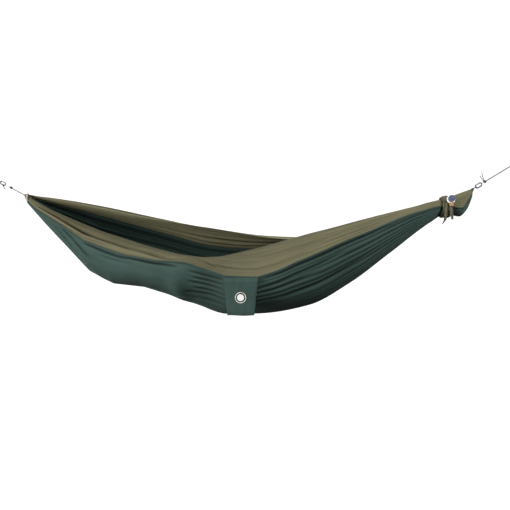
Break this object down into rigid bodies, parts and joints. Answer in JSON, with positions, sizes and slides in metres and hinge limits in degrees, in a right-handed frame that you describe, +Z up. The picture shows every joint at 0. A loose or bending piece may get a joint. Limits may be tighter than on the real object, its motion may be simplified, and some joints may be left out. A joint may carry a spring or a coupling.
{
  "type": "camping hammock",
  "caption": "Gathered-end cloth hammock hung on ropes with snap hooks between two eye plates, with a flap pocket sewn to its near seam.",
  "frame": {"origin": "bearing point of the left eye plate, where the left rope hangs", "axes": "+X along the hammock from the left plate to the right plate, +Y from the front (pocket side) to the back, +Z up"},
  "size_m": [3.216, 0.7971, 0.9495],
  "materials": {
    "green_cloth": "thin dark green parachute cloth, faint weave and sheen",
    "khaki_cloth": "thin khaki parachute cloth, faint weave and sheen",
    "green_binding": "dark green flat-felled seam, stitched twice",
    "khaki_hem": "khaki rolled hem, stitched",
    "pale_thread": "pale whipping thread",
    "hook_steel": "blue-grey steel, brushed",
    "plate_steel": "brushed steel",
    "screw_steel": "brushed steel",
    "grey_rope": "light grey braided rope",
    "thin_cord": "thin pale cord",
    "dark_rope": "dark grey braided rope",
    "button_face": "slate blue, satin",
    "button_rim": "off-white, satin",
    "tan_tab": "tan, matt",
    "pocket_cloth": "dark green parachute cloth, flat",
    "badge": "off-white print, plain"
  },
  "bodies": {
    "anchors": {"left_eye_plate": "plate_steel", "left_plate_screw_upper": "screw_steel", "left_plate_screw_lower": "screw_steel", "right_eye_plate": "plate_steel", "right_plate_screw_upper": "screw_steel", "right_plate_screw_lower": "screw_steel"},
    "hammock": {"centre_panel": "green_cloth", "near_side_panel": "khaki_cloth", "far_side_panel": "khaki_cloth", "near_seam": "green_binding", "far_seam": "green_binding", "near_hem": "khaki_hem", "far_hem": "khaki_hem", "left_end_channel": "khaki_cloth", "left_whipping": "pale_thread", "right_end_channel": "green_cloth", "left_hook": "hook_steel", "right_hook": "hook_steel", "left_rope": "grey_rope", "left_anchor_loop": "grey_rope", "left_hook_loop": "grey_rope", "left_link": "thin_cord", "left_knot": "dark_rope", "left_cord": "dark_rope", "left_tail": "dark_rope", "right_end_loop": "green_cloth", "right_hook_loop": "thin_cord", "right_knot": "dark_rope", "right_rope": "dark_rope", "right_anchor_loop": "dark_rope", "right_tail_long": "dark_rope", "right_tail_short": "dark_rope", "right_wrap": "khaki_cloth", "wrap_tail_long": "khaki_cloth", "wrap_tail_short": "khaki_cloth", "wrap_button_rim": "button_rim", "wrap_button": "button_face", "wrap_button_tab": "tan_tab"},
    "left_gate": {"left_hook_gate": "hook_steel"},
    "right_gate": {"right_hook_gate": "hook_steel"},
    "pocket": {"pocket_bag": "pocket_cloth", "pocket_hinge_hem": "pocket_cloth", "pocket_badge": "badge"}
  },
  "joints": [
    {"name": "hammock_swing", "type": "hinge", "parent": "anchors", "child": "hammock", "pos_m": [0, 0, 0], "axis": [0.9995, 0, 0.0314], "range_deg": [-35, 35]},
    {"name": "left_gate_hinge", "type": "hinge", "parent": "hammock", "child": "left_gate", "pos_m": [0.05914, 0, -0.02295], "axis": [0, 1, 0], "range_deg": [0, 20], "stiffness_Nm_per_rad": 0.05, "springref_deg": -11.46},
    {"name": "right_gate_hinge", "type": "hinge", "parent": "hammock", "child": "right_gate", "pos_m": [2.87398, 0, -0.03985], "axis": [0, 1, 0], "range_deg": [0, 22], "stiffness_Nm_per_rad": 0.05, "springref_deg": -11.46},
    {"name": "pocket_flip", "type": "hinge", "parent": "hammock", "child": "pocket", "pos_m": [1.385, -0.3795, -0.568], "axis": [-1, 0, 0], "range_deg": [-5, 100]}
  ]
}
